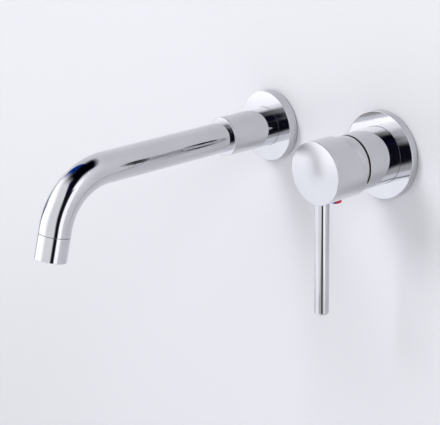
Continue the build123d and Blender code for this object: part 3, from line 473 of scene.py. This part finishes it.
bmesh.ops.recalc_face_normals(knob, faces=knob.faces)
rim = [edge for edge in slant.edges if max(vert.co.z for vert in edge.verts) > RIM_SKIN - RELIEF_START]
bmesh.ops.bevel(knob, geom=rim, offset=RELIEF_ROUND, offset_type="OFFSET", segments=RELIEF_STEPS, profile=0.5,
                affect="EDGES", material=-1)
cavity = cut(ball(CAVITY_R), bar(BOSS_R, pivot + SPINDLE_WAY * BOSS_BACK, SPINDLE_WAY, BOSS_LENGTH))
knob = cut(knob, cavity)
# The square socket, the seats of the lever and the plug, and the holes of the stub and the set screw
knob = cut(knob, bar(SOCKET * math.sqrt(2), pivot + SPINDLE_WAY * SOCKET_BACK, SPINDLE_WAY,
                     SPINDLE_FRONT - SOCKET_BACK, SOCKET_SIDES))
for radius, out, up, length in (
    (LEVER_R, LEVER_OUT, LEVER_SEAT - KNOB_R, DRILL_LENGTH),
    (PLUG_R, PLUG_OUT, PLUG_SEAT - KNOB_R, DRILL_LENGTH),
    (STUB_R, LEVER_OUT, LEVER_SEAT + STUB_HOLE - KNOB_R, STUB_HOLE + STUB_OVERLAP),
    (SCREW_R, PLUG_OUT, -SOCKET, KNOB_R - SOCKET - SCREW_HOLE_END),
):
    knob = cut(knob, bar(radius + PLAY, (0, -out, up), DOWN, length))
for face in knob.faces:
    if face.normal.y < FACES_OUT and face.calc_center_median().y < KNOB_EDGE - KNOB_FRONT:
        face.material_index = 1
satin = surface("chrome_front", (0.62, 0.625, 0.64), (0.59, 0.595, 0.61), gloss=0.22, dull=0.24, metallic=1.0,
                clouds=38, wipes=140, grain=900, relief=0.0002)
knob = finish_piece("handle_knob_turned", knob, chrome, "polished_chrome", "handle_knob")
knob.data.materials.append(satin)


# Handle lever: a plain 10 mm rod with a softly rounded tip, turned down at its upper end to a stub that
# screws into the underside of the knob.
LEVER_LENGTH = 0.0795
LEVER_END = KNOB_R + LEVER_LENGTH
LEVER_START = KNOB_R - LEVER_SEAT
LEVER_TIP_ROUND = 0.002
LEVER_ROUNDS = 128
STUB_LENGTH = 0.009
STUB_EDGE = 0.0003
stub_end = LEVER_START - STUB_LENGTH
lever = turned([(0, stub_end, 0), (STUB_R, stub_end, STUB_EDGE), (STUB_R, LEVER_START, 0),
                (LEVER_R, LEVER_START, 0), (LEVER_R, LEVER_END, LEVER_TIP_ROUND), (0, LEVER_END, 0)],
               (0, -LEVER_OUT, 0), DOWN, LEVER_ROUNDS)
finish_piece("handle_lever_turned", lever, chrome, "polished_chrome", "handle_lever")


# Index plug: a small moulded button pushed into the clamp screw's hole under the knob. It is moulded
# half red and half blue, to show which way is hot and which is cold.
PLUG_PROUD = 0.0028
PLUG_END = KNOB_R + PLUG_PROUD
PLUG_LENGTH = 0.005
PLUG_ROUND = 0.001
PLUG_ROUNDS = 96
RED = (0.60, 0.015, 0.03)
BLUE = (0.02, 0.04, 0.40)
SPLIT_WAY = (0.66, 0.75, 0)
plug = turned([(0, PLUG_END - PLUG_LENGTH, 0), (PLUG_R, PLUG_END - PLUG_LENGTH, 0),
               (PLUG_R, PLUG_END, PLUG_ROUND), (0, PLUG_END, 0)], (0, -PLUG_OUT, 0), DOWN, PLUG_ROUNDS)
two_colours = surface("index_plastic", RED, RED, gloss=0.12, dull=0.22, metallic=0.0, clouds=200, wipes=500,
                      grain=1800, relief=0.01)
nodes, links = two_colours.node_tree.nodes, two_colours.node_tree.links
across = nodes.new("ShaderNodeVectorMath")
across.operation = "DOT_PRODUCT"
across.inputs[1].default_value = SPLIT_WAY
links.new(nodes["Texture Coordinate"].outputs["Object"], across.inputs[0])
red_half = nodes.new("ShaderNodeMath")
red_half.operation = "GREATER_THAN"
red_half.inputs[1].default_value = Vector(SPLIT_WAY).dot((0, -PLUG_OUT, 0))
links.new(across.outputs["Value"], red_half.inputs[0])
links.new(red_half.outputs["Value"], nodes["tint"].inputs["Fac"])
nodes["tint"].color_ramp.elements[0].color = (*BLUE, 1)
finish_piece("index_plug_moulded", plug, two_colours, "index_plastic", "index_plug")


# Backdrop: the pale wall that the mixer stands on, and a pale floor well below it. From behind, the wall
# is left out, so that the body that it hides can be looked at.
WALL_SIZE = 3.2
WALL_COLOUR = (0.79, 0.79, 0.84, 1)
FLOOR_SIZE = 6
FLOOR_Z = -1.3
FLOOR_COLOUR = (0.80, 0.80, 0.82, 1)


def sheet_of_paint(name, size, place, faces, colour, gloss):
    """A square stage piece of one colour, facing a way."""
    paint = bpy.data.materials.new(name + "_paint")
    paint.use_nodes = True
    paint.node_tree.nodes["Principled BSDF"].inputs["Base Color"].default_value = colour
    paint.node_tree.nodes["Principled BSDF"].inputs["Roughness"].default_value = gloss
    mesh = bmesh.new()
    spread = Matrix.Diagonal((size / 2, size / 2, 1, 1))
    bmesh.ops.create_grid(mesh, x_segments=1, y_segments=1, size=1,
                          matrix=Matrix.Translation(place) @ turn_to(faces).to_4x4() @ spread)
    as_object(name, mesh, paint)
    return paint


wall_paint = sheet_of_paint("wall", WALL_SIZE, (0, 0, 0), OUT, WALL_COLOUR, gloss=0.35)
nodes, links = wall_paint.node_tree.nodes, wall_paint.node_tree.links
sides = nodes.new("ShaderNodeNewGeometry")
nothing = nodes.new("ShaderNodeBsdfTransparent")
one_sided = nodes.new("ShaderNodeMixShader")
links.new(sides.outputs["Backfacing"], one_sided.inputs["Fac"])
links.new(nodes["Principled BSDF"].outputs["BSDF"], one_sided.inputs[1])
links.new(nothing.outputs["BSDF"], one_sided.inputs[2])
links.new(one_sided.outputs["Shader"], nodes["Material Output"].inputs["Surface"])
sheet_of_paint("floor", FLOOR_SIZE, (0, 0, FLOOR_Z), (0, 0, 1), FLOOR_COLOUR, gloss=0.6)


# Studio cards: white boards, a blue one and black flags stand round the mixer, where only polished pieces
# see them, so that the chrome gets its bright and dark bands. They light nothing and throw no shadow.
def card(name, place, azimuth, elevation, width, height, fades, colour):
    """A card turned to a direction, with its left, right, lower and upper edge faded over a share of it."""
    a, e = math.radians(azimuth), math.radians(elevation)
    right = Vector((math.cos(a), math.sin(a), 0))
    above = Vector((-math.sin(a) * math.sin(e), math.cos(a) * math.sin(e), math.cos(e)))
    away = right.cross(above)
    board = bpy.data.materials.new(name + "_board")
    board.use_nodes = True
    nodes, links = board.node_tree.nodes, board.node_tree.links
    nodes.remove(nodes["Principled BSDF"])
    place_on = nodes.new("ShaderNodeTexCoord")
    axes = nodes.new("ShaderNodeSeparateXYZ")
    links.new(place_on.outputs["Object"], axes.inputs["Vector"])
    shown = None
    for axis, side, fade in zip("XXYY", (-1, 1, -1, 1), fades):
        edge = nodes.new("ShaderNodeMapRange")
        edge.interpolation_type = "SMOOTHSTEP"
        edge.inputs["From Min"].default_value = side
        edge.inputs["From Max"].default_value = side * (1 - 2 * fade)
        links.new(axes.outputs[axis], edge.inputs["Value"])
        if shown:
            both = nodes.new("ShaderNodeMath")
            both.operation = "MULTIPLY"
            links.new(shown, both.inputs[0])
            links.new(edge.outputs["Result"], both.inputs[1])
            shown = both.outputs["Value"]
        else:
            shown = edge.outputs["Result"]
    glow = nodes.new("ShaderNodeEmission")
    glow.inputs["Color"].default_value = (*colour, 1)
    clear = nodes.new("ShaderNodeBsdfTransparent")
    faded = nodes.new("ShaderNodeMixShader")
    links.new(shown, faded.inputs["Fac"])
    links.new(clear.outputs["BSDF"], faded.inputs[1])
    links.new(glow.outputs["Emission"], faded.inputs[2])
    links.new(faded.outputs["Shader"], nodes["Material Output"].inputs["Surface"])
    mesh = bmesh.new()
    bmesh.ops.create_grid(mesh, x_segments=1, y_segments=1, size=1)
    piece = as_object(name, mesh, board)
    piece.matrix_world = (Matrix.Translation(place) @ Matrix((right, above, away)).transposed().to_4x4()
                          @ Matrix.Diagonal((width / 2, height / 2, 1, 1)))
    piece.visible_camera = piece.visible_diffuse = piece.visible_shadow = False


card("card_left", (-2.04, -2.08, 0.74), azimuth=-48, elevation=15, width=5.85, height=4.66,
     fades=(0.29, 0.38, 0.08, 0.34), colour=(1.72, 1.71, 1.78))
card("card_low_left", (-0.37, -0.74, -0.56), azimuth=-52, elevation=-60, width=1.25, height=1.26,
     fades=(0.11, 0.19, 0.04, 0.09), colour=(1.22, 1.23, 1.33))
card("card_right", (2.01, 0.02, 0.28), azimuth=97, elevation=4, width=1.97, height=3.55,
     fades=(0.13, 0.10, 0.23, 0.20), colour=(1.52, 1.5, 1.57))
card("flag_ceiling", (-0.04, -0.19, 0.40), azimuth=0, elevation=80, width=0.71, height=0.45,
     fades=(0.30, 0.26, 0.27, 0.24), colour=(0.0011, 0.0015, 0.0043))
card("flag_over_camera", (0.39, -0.44, 0.42), azimuth=63, elevation=89, width=0.36, height=0.98,
     fades=(0.19, 0.28, 0.40, 0.16), colour=(0.0061, 0.0061, 0.0249))
card("card_blue", (-1.09, -0.14, 1.20), azimuth=-116, elevation=51, width=1.16, height=1.58,
     fades=(0.01, 0.38, 0.18, 0.07), colour=(0.0039, 0.0381, 0.269))
card("flag_low_left", (-1.61, -0.16, -0.24), azimuth=-123, elevation=42, width=1.07, height=1.69,
     fades=(0.55, 0.23, 0.70, 0.19), colour=(0.213, 0.252, 0.363))
card("flag_camera", (0.62, -0.59, -0.15), azimuth=44, elevation=22, width=0.52, height=1.27,
     fades=(0.31, 0.30, 0.02, 0.03), colour=(0.0084, 0.0079, 0.0158))


# Light: a broad soft lamp from the upper left, a weaker one from the right and one behind the wall for
# the body. The room round them is pale, and the camera and the polished pieces see it white.
MIDDLE = Vector((-0.07, -0.11, -0.02))
ROOM_STRENGTH = 0.54
ROOM_COLOUR = (1, 1, 1, 1)
ROOM_SEEN = (1.0, 1.0, 1.05, 1)


def lamp(name, place, size, power, polished_sees):
    """A square soft lamp that faces the middle of the mixer."""
    light = bpy.data.lights.new(name, "AREA")
    light.shape = "RECTANGLE"
    light.size = light.size_y = size
    light.energy = power
    holder = bpy.data.objects.new(name, light)
    bpy.context.scene.collection.objects.link(holder)
    holder.location = place
    holder.rotation_euler = (MIDDLE - Vector(place)).to_track_quat("-Z", "Y").to_euler()
    holder.visible_glossy = polished_sees


lamp("lamp_left", (-1.1, -2.2, 1.8), size=1.2, power=42, polished_sees=False)
lamp("lamp_right", (1.3, -0.8, 1.1), size=0.8, power=9, polished_sees=False)
lamp("lamp_behind", (-0.2, 1.5, 1.0), size=1.2, power=12, polished_sees=True)
world = bpy.data.worlds.new("room")
bpy.context.scene.world = world
world.use_nodes = True
nodes, links = world.node_tree.nodes, world.node_tree.links
plain = nodes["Background"]
plain.inputs["Color"].default_value = ROOM_COLOUR
plain.inputs["Strength"].default_value = ROOM_STRENGTH
seen = nodes.new("ShaderNodeBackground")
seen.inputs["Color"].default_value = ROOM_SEEN
rays = nodes.new("ShaderNodeLightPath")
sees_white = rays.outputs["Is Camera Ray"]
for ray in ("Is Glossy Ray", "Is Transmission Ray"):
    either = nodes.new("ShaderNodeMath")
    either.operation = "ADD"
    either.use_clamp = True
    links.new(sees_white, either.inputs[0])
    links.new(rays.outputs[ray], either.inputs[1])
    sees_white = either.outputs["Value"]
room = nodes.new("ShaderNodeMixShader")
links.new(sees_white, room.inputs["Fac"])
links.new(plain.outputs["Background"], room.inputs[1])
links.new(seen.outputs["Background"], room.inputs[2])
links.new(room.outputs["Shader"], nodes["World Output"].inputs["Surface"])
bpy.context.scene.view_settings.view_transform = "Standard"


# Camera: a long lens that looks at the mixer from the right and a little from above, rolled by about
# a degree.
AZIMUTH, ELEVATION, ROLL = math.radians(48.841), math.radians(18.820), math.radians(-1.184)
TARGET = Vector((-0.17204, 0, -0.08452))
DISTANCE = 1.08768
LENS = 112.2
SENSOR_WIDTH = 36
back = Vector((math.sin(AZIMUTH) * math.cos(ELEVATION), -math.cos(AZIMUTH) * math.cos(ELEVATION),
               math.sin(ELEVATION)))
camera = bpy.data.objects.new("camera", bpy.data.cameras.new("camera"))
bpy.context.scene.collection.objects.link(camera)
camera.data.sensor_width = SENSOR_WIDTH
camera.data.lens = LENS
camera.location = TARGET + back * DISTANCE
facing = back.to_track_quat("Z", "Y").to_matrix()
camera.rotation_euler = (facing @ Matrix.Rotation(ROLL, 3, "Z")).to_euler()
bpy.context.scene.camera = camera
